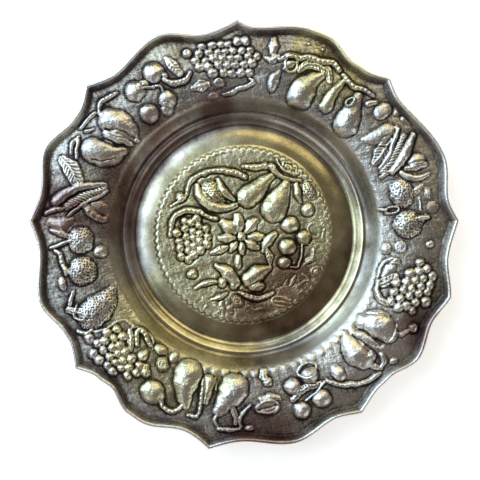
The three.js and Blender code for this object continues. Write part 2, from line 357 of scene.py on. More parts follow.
# Long bodies on the flange: [(degrees, radius), ...], half-widths along it, height, and the finish where it
# isn't smooth.
FLANGE_SWEEPS = [
    # Leaves that lie under the fruit
    ([(34.6, 164), (35.4, 153), (37.8, 142)], (9, 7.5, 2), 2.2),
    ([(31.2, 158), (29.5, 148), (27.8, 139)], (7.5, 8.5, 3), 2.2, "veined"),
    ([(21.1, 156), (18.4, 162), (17.2, 170), (17.2, 181)], (2, 3.4, 3.2, 2), 2.0),
    ([(21.3, 163), (20.6, 172), (20.4, 182)], (3, 3.6, 2.4), 2.6, "hatched"),
    ([(12, 161), (13.4, 166), (14.6, 172)], (2, 3.4, 2), 1.8, "hatched"),
    ([(2.4, 165), (5.1, 170)], (2.4, 2), 1.6),
    ([(45.8, 168), (44.6, 174)], (3.2, 2.4), 1.9),
    ([(34, 188), (35.5, 184)], (4.2, 3), 1.6),
    ([(71.4, 161), (69.6, 168), (66.4, 171.5), (62.6, 170.5), (60.6, 163)],
     (3, 5, 5.6, 4.6, 2.6), 2.8, "veined"),
    ([(76.2, 158), (75, 164), (73, 169)], (2, 4.4, 2), 2.0),
    ([(81.5, 185), (81.2, 178), (80.9, 170)], (3, 5.8, 3), 2.4),
    ([(82.8, 165), (81.1, 164.5), (79.1, 168.5)], (2.4, 4.4, 2.4), 2.2),
    ([(104.2, 143.5), (106.8, 144), (109.6, 144)], (3, 6.2, 2.6), 2.0, "veined"),
    ([(114.6, 179), (113.5, 170), (112.5, 161)], (2.6, 5.6, 3.4), 2.2, "veined"),
    ([(158.6, 183), (160.3, 173), (163.2, 164)], (4.6, 8.6, 7.4), 2.4, "veined"),
    ([(177.5, 181), (178, 172), (176.5, 163)], (4, 7, 4), 1.8),
    ([(169.9, 147), (171, 137), (172.6, 129)], (4, 7, 5), 1.4),
    ([(226.3, 152), (223.6, 146), (220.8, 141)], (2, 3.6, 2), 2.0, "veined"),
    ([(275.6, 156), (278.4, 155.5), (281.4, 157.5)], (2.4, 4, 2.4), 1.8),
    ([(277.2, 136), (277.4, 131)], (4.4, 3), 1.4, "veined"),
    ([(286.1, 162), (290.1, 156), (294.4, 156.5), (297.4, 158)], (3, 4, 4, 2), 2.4, "stippled"),
    ([(316.5, 139), (318.5, 148), (319, 161)], (4.6, 5.6, 4), 2.2),
    ([(312.9, 167), (313.8, 175), (314.7, 180)], (3.4, 3.2, 2), 2.6),
    ([(317.8, 171), (317, 177), (315.1, 179)], (2.4, 3, 2), 2.6),
    ([(326.5, 174), (328.4, 178)], (3, 2), 2.4),
    ([(339.6, 139), (343.1, 147)], (5, 4), 1.8, "veined"),
    ([(345.8, 141), (342.4, 137)], (5, 3), 1.4),
    # Pods
    ([(33.6, 174), (30.9, 163), (27.6, 153), (25.2, 141)], (1.8, 2.4, 2.4, 1.8), 3.0),
    ([(31, 175), (28.3, 164), (25.4, 153), (23.4, 142)], (3.4, 4.3, 4.3, 3.4), 2.6, "hatched"),
    ([(29.8, 183), (27.4, 173), (24.6, 162), (22.2, 150)], (3.4, 5.2, 5.2, 3.6), 4.0),
    ([(22.6, 146), (21.6, 139)], (2.6, 2), 2.0, "hatched"),
    ([(172.1, 167), (169.6, 158), (166.6, 148), (163.4, 137)], (4.4, 5, 4.8, 3), 3.6, "hatched"),
    ([(175.3, 165), (172.7, 158), (169.7, 150), (166.9, 141), (163.6, 134)], (1.4, 1.9, 1.9, 1.9, 1.4), 2.8),
    ([(170.9, 178), (167.6, 168.5), (164.4, 155), (161.6, 138)], (6, 4.6, 3.4, 2.2), 3.4),
    ([(170.6, 152), (172.8, 146), (175, 137), (175.1, 131)], (3, 4.4, 4, 2.4), 2.4, "beaded"),
    ([(174.9, 186), (173.6, 178), (173.2, 172)], (2.8, 3.2, 2.5), 2.6, "roped"),
    # Pears and figs, from the bulb to the neck
    ([(46.6, 139), (47.8, 148), (49.3, 158), (50, 167)], (12, 11, 7, 4), 5.4),
    ([(57.1, 141.5), (57.5, 152), (57.2, 162), (56.4, 171)], (6.8, 5, 3.6, 3), 3.4),
    ([(67.9, 138), (67.3, 147), (66, 156), (63.9, 164)], (12.6, 12, 8, 4.6), 5.4),
    ([(79.5, 139), (79.2, 147), (77.9, 154)], (4, 5.4, 3), 3.2),
    ([(208.9, 163), (208.2, 156), (206.9, 146), (203.8, 135)], (13.6, 14.6, 11, 4), 5.2, "stippled"),
    ([(248.3, 142), (249, 152), (249.7, 161), (251, 169)], (13.4, 12.4, 8, 5), 5.4),
    ([(256.4, 143), (256.5, 150), (256.7, 161)], (6.4, 6, 4.4), 3.4),
    ([(266.3, 145), (264.8, 153), (263, 161), (261.5, 168)], (13.4, 12.6, 9, 5.6), 5.4),
    # Peaches, from the broad end to the point
    ([(144.6, 157), (143.6, 146), (142.6, 136)], (5.6, 6.4, 3), 3.4),
    ([(140.6, 164), (139.5, 155), (139, 144), (139.8, 134)], (12, 12.4, 9.4, 3), 5.2),
    ([(151.8, 161), (151.2, 152), (149.8, 144), (146.6, 137)], (12.4, 13.2, 11, 5), 5.2),
    ([(312.8, 161), (312.2, 153), (312.6, 144), (314.2, 133)], (10.5, 12.4, 9, 3), 6.4),
    ([(322.8, 140), (324.5, 148), (324.8, 157), (324.2, 163)], (9, 13.6, 14, 10), 6.4),
    # Leaves over the tops of the fruit
    ([(204.3, 178), (206.2, 171), (208.5, 164)], (3.4, 4.4, 2), 3.6, "veined"),
    ([(204, 170), (206.8, 176), (209.4, 170)], (1.4, 1.8, 1.4), 3.6),
    ([(179.8, 180), (180.8, 171), (181.8, 163)], (2.4, 3.6, 2), 2.6),
    ([(185.2, 181), (184.3, 171), (183.4, 163)], (1.8, 2.2, 2), 2.8),
    ([(192, 170), (194.8, 165)], (3.2, 2.4), 3.4),
    ([(4.4, 172), (4.2, 164)], (2.4, 3), 3.4),
    # Branches and crescents, ridged by a chasing tool
    ([(78.6, 166), (76, 172), (72.4, 172), (69.6, 176), (66, 176), (62.4, 180), (59.5, 177)],
     (2.3, 3, 3.2, 3.4, 3.4, 3.4, 2.8), 3.5, "roped"),
    ([(57.7, 175), (54.9, 172), (52.6, 171.5), (50.1, 175), (46.5, 177)],
     (2.8, 3.2, 3.2, 3, 1.8), 3.5, "roped"),
    ([(98.4, 132), (94.9, 133), (92, 136), (88.8, 138), (86.9, 142), (88.1, 145)],
     (1.8, 2.4, 2.4, 2.4, 2.2, 1.6),
     2.6, "roped"),
    ([(118.1, 162), (116.3, 155.5), (113.6, 153), (110.8, 154), (109.2, 158)],
     (2.3, 3, 3.1, 3, 2.1), 3.5, "roped"),
    ([(133.1, 177), (136.5, 180), (139.3, 180.5), (141.3, 175)], (2.3, 3, 3, 2.3), 3.3, "roped"),
    ([(141.9, 179), (144.8, 180.5), (148.1, 182)], (2.1, 2.5, 2.1), 2.6, "roped"),
    ([(148.1, 176), (146, 171)], (2, 1.6), 2.4),
    ([(150.7, 179), (153.4, 181), (155.8, 178)], (2, 2.4, 2), 2.6, "beaded"),
    ([(151.4, 178), (154.2, 174.5), (156.7, 171)], (1.6, 2, 1.6), 2.4),
    ([(186.1, 177), (187.4, 173), (189.5, 172), (191.7, 171), (193.8, 171)],
     (2.1, 2.9, 2.9, 2.9, 2.1), 3.1, "roped"),
    ([(199.7, 169), (201.8, 173), (203.8, 178)], (1.8, 2.5, 1.8), 2.6, "roped"),
    ([(211.2, 180), (212.9, 175), (213.1, 168)], (2.1, 2.5, 1.8), 2.9, "roped"),
    ([(226.6, 145), (223.9, 139), (223.3, 134.5), (226.2, 133.5), (230.6, 138)],
     (2.1, 2.8, 2.8, 2.8, 2.1), 3.1, "roped"),
    ([(243.7, 174), (245, 178.5), (247.4, 180), (249.2, 177), (250, 172)],
     (2.1, 2.8, 2.8, 2.5, 1.8), 3.1, "roped"),
    ([(252.9, 178), (255.2, 176.5), (255.9, 171)], (2.1, 2.5, 1.8), 2.9, "roped"),
    ([(254.4, 143), (255.2, 158), (255.9, 173)], (2.1, 2.3, 1.8), 4.4, "roped"),
    ([(262.4, 184), (265.6, 184), (268.4, 182)], (2.1, 2.8, 2.1), 2.9, "roped"),
    ([(261, 171), (260.8, 176), (261.6, 181)], (1.6, 2, 1.6), 2.6),
    ([(271.6, 161), (269.4, 167), (268.4, 173), (268.8, 180)], (1.6, 1.9, 1.9, 1.6), 2.6),
    ([(266.1, 165), (267.1, 171), (267.3, 177)], (2.4, 2.8, 2), 2.2, "veined"),
    ([(298.6, 158), (301.4, 167), (304.6, 172.5), (306.8, 177), (309.9, 180), (313.5, 182)],
     (2.1, 2.5, 2.8, 2.8, 2.8, 2.1), 3.1, "roped"),
    ([(339.6, 133.5), (335.9, 135.5), (333.4, 141.5), (333.3, 150), (334.4, 158)],
     (2.4, 3.4, 3.6, 3, 1.8), 2.8),
    ([(350, 140), (346.1, 132.5), (341, 132.5)], (1.6, 2, 1.6), 1.8),
    # Stems
    ([(9.3, 128), (8.5, 135)], (1.4, 1.8), 1.8),
    ([(10.7, 167), (6.9, 166)], (1.3, 1.3), 1.6),
    ([(122.4, 161), (120.3, 158), (120.4, 153)], (1.4, 1.6, 1.4), 2.4),
    ([(124.8, 164), (122.6, 160)], (1.4, 1.4), 2.2),
    ([(297.6, 157.5), (293.6, 163), (289.6, 166)], (1.2, 1.4, 1.2), 2.4),
]

# Loops on the flange: degrees, radius, half-size across and along the radius, line width, height.
FLANGE_RINGS = [
    (8.2, 140, 3.2, 6.2, 1.2, 2.2),
    (51, 157, 2.8, 4.8, 1.2, 3.0),
    (74.6, 164, 6, 7.5, 1.1, 1.6),
    (354.2, 147, 4.6, 4.6, 0.9, 0.5),
    (348.7, 143, 2.6, 4.4, 0.8, 0.5),
    (11.7, 176, 3.4, 1.8, 0.8, 0.6),
    (99.9, 143, 3.4, 3.4, 0.9, 0.6),
    (103, 132, 3.6, 2, 0.8, 0.6),
    (108.1, 177, 2.6, 2.6, 0.9, 1.0),
    (124.8, 168, 3.8, 3.8, 1.0, 1.6),
    (330.1, 181, 3, 3, 1.0, 1.4),
    (238.3, 145, 3.8, 3.8, 1.0, 0.8),
    (294.1, 141.5, 9, 6, 1.3, 1.4),
    (277.2, 164, 10.4, 5.6, 1.3, 1.3),
]

# Lines chased on the flange: [(degrees, radius), ...], width, depth.
FLANGE_LINES = [
    ([(22.4, 127), (19.6, 139), (19.6, 150), (21.8, 157), (24.5, 164)], 0.9, -0.9),
    ([(35.3, 141), (32.9, 147), (30.3, 157)], 0.9, -0.9),
    ([(143.8, 161), (141.2, 150), (140, 136)], 1.6, -1.5),
    ([(147.6, 168), (147.4, 154), (146.9, 146), (144.4, 139)], 1.6, -1.5),
    ([(154.9, 158), (154, 148), (150.8, 140)], 0.9, -0.9),
    ([(318, 138), (320.2, 145), (320.2, 158), (321.5, 171)], 1.6, -1.3),
    ([(315.8, 160), (315.6, 150), (316, 139)], 1.0, -1.1),
    ([(329.8, 163), (328.6, 150), (326, 138)], 0.9, -0.9),
    ([(78, 182.5), (72, 186), (66, 187)], 0.8, -0.5),
    ([(79, 186.5), (72, 190), (65.5, 190.5)], 0.8, -0.5),
    ([(274.4, 165.5), (277.2, 164), (280, 163.4)], 0.9, -1.0),
    ([(314.2, 129), (309.8, 138), (307, 152), (305.2, 161)], 0.9, -0.8),
    ([(213.9, 168), (215, 157), (215.3, 146), (216.6, 139), (220.4, 136)], 1.2, 1.6),
    ([(220.6, 138), (222.6, 132.6), (225.6, 130.6), (229.8, 132.5), (232, 139)], 1.2, 1.4),
    ([(204.3, 174), (207.1, 177), (208.8, 171), (208.3, 165)], 1.0, 1.2),
    ([(258.8, 139), (259.8, 149)], 1.0, 1.2),
    ([(328.1, 167), (323.5, 169), (319, 166)], 1.0, 1.2),
]

# Bunches of grapes on the flange: the outline as [(degrees, radius), ...], and the pitch of the grapes.
FLANGE_BUNCHES = [
    ([(106, 181), (98.9, 184), (93, 186), (88.6, 181), (85.4, 170), (85, 158), (88, 146), (95, 148),
      (101.4, 152), (107.5, 157)], 8.2),
    ([(216.2, 151), (221, 147), (226.1, 153), (231.8, 155), (235.8, 160), (233.4, 169), (228.8, 178),
      (223.1, 182), (220, 184), (214.7, 175), (215.8, 164)], 8.4),
    ([(351.2, 163), (350.8, 176), (345.6, 184), (341.4, 187), (338, 184), (334.3, 179), (331.9, 164),
      (334.1, 147), (338.2, 143), (342.4, 145), (344.9, 158)], 8.6),
]

# Fruits of the medallion: x, y, half-sizes, turn in degrees, height, and the finish where it isn't smooth.
CENTRE_DOMES = [
    (-3, -4, 4.4, 4.4, 0, 2.2, "stippled"),
    (44, 7.5, 8.8, 8, 0, 4.0),
    (57, -5, 7.6, 7.2, 0, 4.0),
    (41.5, -14, 8.4, 7.8, 0, 4.0),
    (38.5, -29, 6.6, 5.6, 0, 3.4),
    (61, 22, 6.6, 6.4, 0, 3.6),
    (-50, -40, 5, 5, 0, 3.2),
    (-21, -48, 4.6, 5.2, 0, 3.4),
    (-10.5, -51, 4.2, 4, 0, 3.0),
    (12, -51.5, 8, 5, 8, 3.6),
    (-30, 37, 11, 14, 40, 3.6, "stippled"),
    (64, 41, 7.5, 9.5, 20, 1.8, "stippled"),
    (-6.5, -66, 6, 5.5, -20, 1.6),
    (-6, -28.5, 4, 7, 0, 2.6),
    (26, 63.5, 4.4, 3.8, -40, 3.6),
    (-38.5, 56.5, 2.8, 2.8, 0, 3.6),
    (-61, 33.5, 4.4, 5, 40, 2.2),
    (44, 62, 9, 5, -38, 1.2, "stippled"),
    (63, -26, 5, 3, 20, 0.9),
    (69, -38, 3.6, 3.4, 0, 1.4),
]

# Long bodies of the medallion: [(x, y), ...], half-widths along it, height, and the finish where it isn't
# smooth.
CENTRE_SWEEPS = [
    ([(-46, 46), (-42, 34), (-32, 25.5), (-18, 23.5), (-7, 27)], (2, 4.8, 5.4, 4.6, 2), 3.4),
    ([(-25, 51), (-20.5, 40), (-10, 31)], (2.5, 4.5, 1.5), 3.8),
    ([(3.5, 34.5), (10, 39.5), (18.5, 48), (26, 55)], (10.8, 10.2, 6.5, 3.8), 4.8),
    ([(28.3, 22.5), (32.5, 31), (37, 40), (40.5, 48)], (12.8, 11.6, 7.5, 4), 5.0),
    ([(27, 62.5), (35, 54.5), (44, 51.5), (54, 50)], (3.4, 2.8, 2, 1.8), 3.6),
    ([(31, 70.5), (37, 61.5), (46, 57.5), (53, 57.5)], (1.2, 1.3, 1.3, 1), 1.8),
    ([(-1, 63.5), (9, 63), (20, 64.5)], (1.8, 3.4, 3.7), 3.3, "roped"),
    ([(-56, 36), (-52.5, 47.5), (-42, 56.5), (-26, 60), (-9, 57.5), (0.5, 53.8)],
     (1.8, 2.5, 2.6, 2.8, 3.4, 2.8), 3.5, "roped"),
    ([(-57, 33), (-64, 29.5), (-70.5, 25)], (1.8, 1.4, 1), 1.4),
    ([(-71, -3), (-69, 11.5), (-58.5, 20.5), (-45, 20), (-34, 15), (-27, 13.5)],
     (2.1, 2.8, 3, 3, 2.5, 2.5), 3.5, "roped"),
    ([(50, 46), (51.5, 38), (54, 29.5)], (2.4, 3.8, 1.6), 3.0),
    ([(55.4, -12), (54.4, -24), (51, -33), (44, -33.5)], (1.1, 1.4, 1.4, 1), 2.4),
    ([(29, -2), (22, -9), (18.5, -18)], (3.4, 5.4, 2), 3.2),
    ([(22.5, -18), (24, -23), (25, -30)], (2.6, 3.8, 1.6), 2.4, "veined"),
    ([(-31, -20), (-24, -17), (-17, -14)], (1.8, 4.2, 1.6), 2.8, "veined"),
    ([(-27, -32), (-17.5, -37.5), (-8.5, -48)], (2.2, 6.6, 5), 4.2),
    ([(24.5, -34), (14, -38.5), (5, -45)], (2.6, 8.4, 7.6), 5.0),
    ([(-5, -57), (3.5, -61.5), (15, -63), (28, -58)], (1.8, 3.2, 3.2, 1.8), 3.1, "roped"),
    ([(-31, -64), (-24, -62), (-16.5, -59)], (1, 3, 1.2), 2.4),
    ([(-46, -53.5), (-38, -49), (-27.5, -47.5)], (1.6, 3.2, 2), 2.6, "beaded"),
    ([(-22, -68), (-20.5, -75), (-20, -81)], (2.4, 2, 0.8), 1.0, "veined"),
    ([(-14, -72), (-12, -77)], (2.4, 1.2), 0.9),
    ([(49.5, -41), (46.5, -46), (43.5, -51)], (0.8, 2.4, 0.8), 1.2),
]

# Loops of the medallion: x, y, half-sizes, turn in degrees, line width, height.
CENTRE_RINGS = [
    (35.5, -66.5, 9.5, 4.6, -12, 0.9, 1.1),
    (69, -38, 4.6, 4.4, 0, 0.9, 1.0),
    (-6.5, -66, 4, 3.4, -20, 0.7, 0.7),
    (67, 2, 5, 7, 20, 0.8, 0.6),
    (71, -18, 4.5, 6, -15, 0.8, 0.6),
    (57, -52, 7, 4, 35, 0.8, 0.7),
]

# Lines chased on the medallion: [(x, y), ...], width, depth.
CENTRE_LINES = [
    ([(1, -60.5), (14, -62.6), (26, -58)], 0.6, -0.9),
    ([(60, -10), (66, -15), (66, -24), (58, -30)], 0.8, 0.9),
    ([(74, -28), (70, -46), (62, -58)], 0.8, 0.9),
    ([(56, -40), (61, -46), (59, -54), (50, -59)], 0.8, 0.7),
    ([(40, -44), (36, -51), (30, -54)], 0.7, -0.5),
    ([(73, 14), (76, 4), (75, -8)], 0.8, 0.8),
    ([(27, -66), (36, -66.5), (45, -68.5)], 0.7, 0.9),
    ([(-28, -70), (-24, -74), (-27, -79)], 0.7, 0.8),
    ([(-40, -62), (-36, -68), (-38, -73)], 0.7, 0.8),
    ([(4, -70), (10, -74), (18, -73)], 0.7, 0.8),
]

# The medallion's bunch of grapes: its outline and the pitch of the grapes.
CENTRE_BUNCH = (
    [(-66, 6), (-58, 14), (-42, 14), (-31, 4), (-31, -12), (-38, -24), (-50, -29), (-63, -23), (-68, -8)], 7.8
)

PETAL_HEIGHT = 2.8

# Petals of the flower: where each starts and ends, and its half-width.
FLOWER_PETALS = [
    ((-5.2, 2.5), (-6.6, 15.5), 6.2),
    ((2, 1), (10.4, 11), 6),
    ((4.5, -4), (17, -4), 4.8),
    ((1.5, -8.5), (12, -14.5), 5),
    ((-3, -10.5), (-2.5, -20), 3.8),
    ((-8, -9.5), (-13, -17.5), 3.8),
    ((-10.5, -5), (-23, -5.5), 5),
    ((-9.5, 1), (-20.5, 9), 6.4),
]


def is_inside(outline, x, y):
    """True when a place is inside a closed outline."""
    crossings = 0
    for (ax, ay), (bx, by) in zip(outline, outline[1:] + outline[:1]):
        if (ay > y) != (by > y) and x < ax + (bx - ax) * (y - ay) / (by - ay):
            crossings += 1
    return crossings % 2 == 1


BUNCH_REACH = 6  # rows and columns of grapes to each side of a bunch's middle
ROW_SPACING = 0.87  # between rows, as a share of the pitch in a row
GRAPE_STRAY = 2.4
GRAPE_HALF_WIDTH = 0.57  # as a share of the pitch
GRAPE_HALF_LENGTH = 1.06  # as a share of the half-width
GRAPE_HEIGHT = 3.0


def raise_bunch(relief, outline, pitch):
    """Grapes packed in staggered rows that run across the radius, wherever one lies inside the outline."""
    centre = np.mean(outline, axis=0)
    direction = math.atan2(centre[1], centre[0])
    out = np.array([math.cos(direction), math.sin(direction)])
    across = np.array([-out[1], out[0]])
    for row in range(-BUNCH_REACH, BUNCH_REACH + 1):
        for column in range(-BUNCH_REACH, BUNCH_REACH + 1):
            jitter = hashed(np.array([row, column]), np.array([column, row]), 5.0) - 0.5
            level = row * ROW_SPACING * pitch + GRAPE_STRAY * jitter[0]
            offset = (column + 0.5 * (row % 2)) * pitch + GRAPE_STRAY * jitter[1]
            spot = centre + out * level + across * offset
            if is_inside(outline, *spot):
                size = GRAPE_HALF_WIDTH * pitch * (1 + 0.2 * float(jitter[0]))
                relief.dome(spot, (size, size * GRAPE_HALF_LENGTH), direction, GRAPE_HEIGHT)


def raise_flange(relief):
    for degrees, radius, across, along, top, *finish in FLANGE_DOMES:
        relief.dome(at(degrees, radius), (along, across), math.radians(degrees), top, *finish)
    for points, widths, top, *finish in FLANGE_SWEEPS:
        relief.sweep([at(*point) for point in points], widths, top, *finish)
    for outline, pitch in FLANGE_BUNCHES:
        raise_bunch(relief, [at(*point) for point in outline], pitch)
    for degrees, radius, across, along, width, height in FLANGE_RINGS:
        relief.ring(at(degrees, radius), (along, across), math.radians(degrees), width, height)
    for points, width, depth in FLANGE_LINES:
        relief.line([at(*point) for point in points], width, depth)


def raise_centre(relief):
    for start, end, width in FLOWER_PETALS:
        relief.sweep([start, end], (0.5 * width, width, width, 0.6 * width), PETAL_HEIGHT, "petal")
    for x, y, half_x, half_y, turn, top, *finish in CENTRE_DOMES:
        relief.dome((x, y), (half_x, half_y), math.radians(turn), top, *finish)
    for points, widths, top, *finish in CENTRE_SWEEPS:
        relief.sweep(points, widths, top, *finish)
    raise_bunch(relief, *CENTRE_BUNCH)
    for x, y, half_x, half_y, turn, width, height in CENTRE_RINGS:
        relief.ring((x, y), (half_x, half_y), math.radians(turn), width, height)
    for points, width, depth in CENTRE_LINES:
        relief.line(points, width, depth)


MEDALLION = (-1.4, -1.9)  # the middle of the medallion, chased a little off the tray's own
MEDALLION_RADIUS = 82.0
CENTRE_SCALLOPS = 76
SCALLOP_REACH = 2.2  # how far each scallop stands out from the medallion's radius
SCALLOP_BULGE = 0.25
CLIFF_HEIGHT = 0.6
CLIFF_RUN = 30  # inside its scalloped edge the raised ground falls back to the plain sheet over this distance
WALL_RADIUS = 122  # parts the medallion's embossing from the flange's
FLANGE_INNER_EDGE = 127.5
KNOB_DEGREES = 4  # from one knob to the next
KNOB_RADIUS = 133
KNOB_HALF_WIDTH = 4.1
KNOB_HALF_LENGTH = 5.4
KNOB_HEIGHT = 0.75
KNOB_WORN = 0.06  # the share of their height that the worn knobs keep
KNOB_FRONT = 290  # the angle round which the knobs are crisp
KNOB_FADE = (56, 26)  # degrees from there at which they are fully worn, and still crisp
BARE = 0.5  # where the embossing stands lower than this, the ground is bare


def scallops(x, y):
    """The row of punched scallops that ends the medallion's ground in a low cliff."""
    dx, dy = x - MEDALLION[0], y - MEDALLION[1]
    bulge = np.abs(np.cos(np.arctan2(dy, dx) * CENTRE_SCALLOPS / 2)) ** 0.8
    gap = np.hypot(dx, dy) - MEDALLION_RADIUS - SCALLOP_REACH * bulge
    cliff = smoothstep(gap, 0.5, -0.9) * smoothstep(gap, -CLIFF_RUN, -2)
    raised = np.exp(-(((gap + 2) / 1.6) ** 2))
    groove = np.exp(-(((gap - 0.9) / 0.6) ** 2))
    return CLIFF_HEIGHT * cliff + SCALLOP_BULGE * bulge**2 * raised - 0.4 * groove


def knobs(x, y, rho):
    """The row of knobs round the inner edge of the flange. They are crisp at the front and worn elsewhere."""
    degrees = np.degrees(np.arctan2(y, x)) % 360
    strength = KNOB_WORN + (1 - KNOB_WORN) * smoothstep(np.abs(degrees - KNOB_FRONT), *KNOB_FADE)
    middle = (np.floor(degrees / KNOB_DEGREES) + 0.5) * KNOB_DEGREES
    side = np.radians(degrees - middle) * rho / KNOB_HALF_WIDTH
    q = np.hypot(side, (rho - KNOB_RADIUS) / KNOB_HALF_LENGTH)
    return strength * KNOB_HEIGHT * (1 - np.minimum(q, 1) ** 2)


def embossed(x, y, rho):
    """How far the embossing stands above the plain sheet at some places, and the dirt it holds there."""
    relief = Relief(x, y)
    raise_flange(relief)
    raise_centre(relief)
    on_flange = rho > WALL_RADIUS
    relief.height = np.where(on_flange, blended(relief.height, knobs(x, y, rho)), relief.height)
    bare = relief.height < BARE
    from_middle = np.hypot(x - MEDALLION[0], y - MEDALLION[1])
    past_inner_edge = smoothstep(rho, FLANGE_INNER_EDGE - 1, FLANGE_INNER_EDGE + 3)
    before_band = smoothstep(rho, BAND_FOOT + 0.6, BAND_FOOT - 1.2)
    in_medallion = smoothstep(from_middle, MEDALLION_RADIUS, MEDALLION_RADIUS - 3)
    chased = np.where(on_flange, past_inner_edge * before_band, in_medallion)
    dents = GROUND_DEPTH * punch_marks(x, y, GROUND_PITCH) * (1 - relief.stippled)
    pits = punch_marks(x, y, FRUIT_PITCH) * relief.stippled
    hammered = (0.2 * uneven(x, y, 4.2) + 0.15 * uneven(y, -x, 1.9) + 0.07 * uneven(x, y, 1.1)
                + 0.35 * uneven(x, y, 8.0) * bare)
    worked = EMBOSSING * relief.height - dents - FRUIT_DEPTH * pits + hammered
    ground_grime = np.where(on_flange, FLANGE_GRIME, MEDALLION_GRIME)
    grime = PIT_GRIME * pits + ground_grime * smoothstep(relief.height, 0.9, 0.2) * chased
    return worked * chased + scallops(x, y) * bare, grime


# ---- The skin: rings of points from the middle of the top, over the roll, to the middle below ----

RING_STEP = 0.65
FULL_COLUMNS = 1440
FEWEST_COLUMNS = 45
COLUMN_STEPS = ((105, 1), (52, 2), (26, 4), (13, 8), (6.5, 16))  # outside each radius, one column in so many
BEND_POINTS = 9
ROLL_STEPS = 18
HOLLOW_STEPS = 12


def columns_at(radius, coarse):
    """How many points a ring of this radius has. They halve towards the middle."""
    for least, share in COLUMN_STEPS:
        if radius > least:
            return FULL_COLUMNS // share // coarse
    return FEWEST_COLUMNS


def rounded(line):
    """The line with each corner replaced by a bend that reaches as far as the corner's third number."""
    bends = [line[:1, :2]]
    t = np.linspace(0, 1, BEND_POINTS)[:, None]
    for before, (x, y, reach), after in zip(line[:-2], line[1:-1], line[2:]):
        corner = np.array([x, y])
        ends = []
        for other in (before[:2], after[:2]):
            run = np.linalg.norm(other - corner)
            ends.append(corner + (other - corner) * min(0.5, reach / run))
        bends.append((1 - t) ** 2 * ends[0] + 2 * t * (1 - t) * corner + t**2 * ends[1])
    return np.vstack([*bends, line[-1:, :2]])


def resampled(line, step):
    lengths = np.concatenate([[0], np.cumsum(np.hypot(*np.diff(line, axis=0).T))])
    marks = np.linspace(0, lengths[-1], round(lengths[-1] / step) + 1)
    return np.column_stack([np.interp(marks, lengths, line[:, k]) for k in (0, 1)])


def offset(line, distance):
    """The line moved square to itself, to its right."""
    slope = np.gradient(line, axis=0)
    slope /= np.linalg.norm(slope, axis=1)[:, None]
    return line + distance * np.column_stack([slope[:, 1], -slope[:, 0]])


def bead_arc(radius, start, end, steps):
    angle = np.radians(np.linspace(start, end, steps + 1))
    centre = MEAN_RADIUS - BEAD_RADIUS
    return np.column_stack([centre + radius * np.cos(angle), BEAD_HEIGHT + radius * np.sin(angle)])


def rings_of_sheet():
    """The section as (radius, height, side) rows: side 1 is the top, -1 the underside, 0 the roll."""
    roll = bead_arc(BEAD_RADIUS, ROLL_START, ROLL_END, ROLL_STEPS)
    top = resampled(rounded(np.vstack([SECTION, (*roll[0], 0)])), RING_STEP)
    below = offset(top, SHEET)[::-1][1::2]
    hollow = bead_arc(BEAD_RADIUS - SHEET, ROLL_END, ROLL_START, HOLLOW_STEPS)
    middle = np.array([[0, below[-1][1]]])
    rows = [(top[:-1], 1), (roll, 0), (hollow, 0), (below[:-1], -1), (middle, -1)]
    return np.vstack([np.column_stack([part, np.full(len(part), side)]) for part, side in rows])


def bridge(inner, outer):
    """The faces between two rings of point numbers, of which one may have twice as many as the other."""
    m, n = len(inner), len(outer)
    i, o = np.append(inner, inner[0]), np.append(outer, outer[0])
    if m == 1:
        return [], np.column_stack([np.full(n, inner[0]), o[:-1], o[1:]])
    if n == 1:
        return [], np.column_stack([i[:-1], np.full(m, outer[0]), i[1:]])
    if m == n:
        return np.column_stack([i[:-1], o[:-1], o[1:], i[1:]]), []
    if n == 2 * m:
        a, b = i[:-1], i[1:]
        c, d, e = o[0:-1:2], o[1::2], o[2::2]
        return [], np.vstack([np.column_stack(t) for t in ((a, c, d), (a, d, b), (b, d, e))])
    if m == 2 * n:
        a, b = o[:-1], o[1:]
        c, d, e = i[0:-1:2], i[1::2], i[2::2]
        return [], np.vstack([np.column_stack(t) for t in ((c, a, d), (d, a, b), (d, b, e))])
    raise ValueError("two rings must have the same number of points, or one twice the other's")


HOLLOW_REACH = 0.9  # the hollows behind the embossing are this much narrower all round than its top
# The rim: the upturned band is painted darker, the outward half of the roll gets painted shade, and the top
# of the roll a painted highlight.
BAND_DARKENING = 0.4
# painted shade on the outward half of the roll
ROLL_PAINTED_SHADE = 0.3
ROLL_PAINTED_HIGHLIGHT = 0.3  # a painted highlight: the top of the roll is painted lighter


def make_skin():
    """The closed skin: points in millimetres, faces, and each point's side of the sheet and its grime and
    painted rim shading.
    """
    rows = rings_of_sheet()
    parts, rings, start = [], [], 0
    for rho, z, side in rows:
        coarse = 1 if side == 1 or (side == 0 and on_outside_of_roll(rho, z)) else 2
        count = 1 if rho < 0.01 else columns_at(rho, coarse)
        parts.append(np.column_stack([np.full(count, rho), np.full(count, z), np.full(count, side),
                                      np.arange(count) * 360 / count]))
        rings.append(np.arange(start, start + count))
        start += count
    rho, z, side, degrees = np.vstack(parts).T
    share = smoothstep(rho, ROUND_RADIUS, BAND_FOOT)
    at_edge = edge_radius(degrees) - (MEAN_RADIUS - rho) * edge_stretch(degrees)
    reach = rho + share * (at_edge - rho)
    x, y = reach * np.cos(np.radians(degrees)), reach * np.sin(np.radians(degrees))
    raised, grime = embossed(x, y, rho)
    # Painted shade and a painted highlight on the rim, added to the grime in the ground and in the stippled
    # dots.
    grime_and_rim_shading = rim_shading(rho, side) + np.where(side == 1, grime, 0)
    z = z + np.where(side == 1, raised, underside_relief(x, y, rho, side))
    quads, triangles = [], []
    for inner, outer in zip(rings[:-1], rings[1:]):
        q, t = bridge(inner, outer)
        quads.append(np.reshape(q, (-1, 4)))
        triangles.append(np.reshape(t, (-1, 3)))
    points = np.column_stack([x, y, z])
    return points, np.vstack(quads).astype(int), np.vstack(triangles).astype(int), side, grime_and_rim_shading


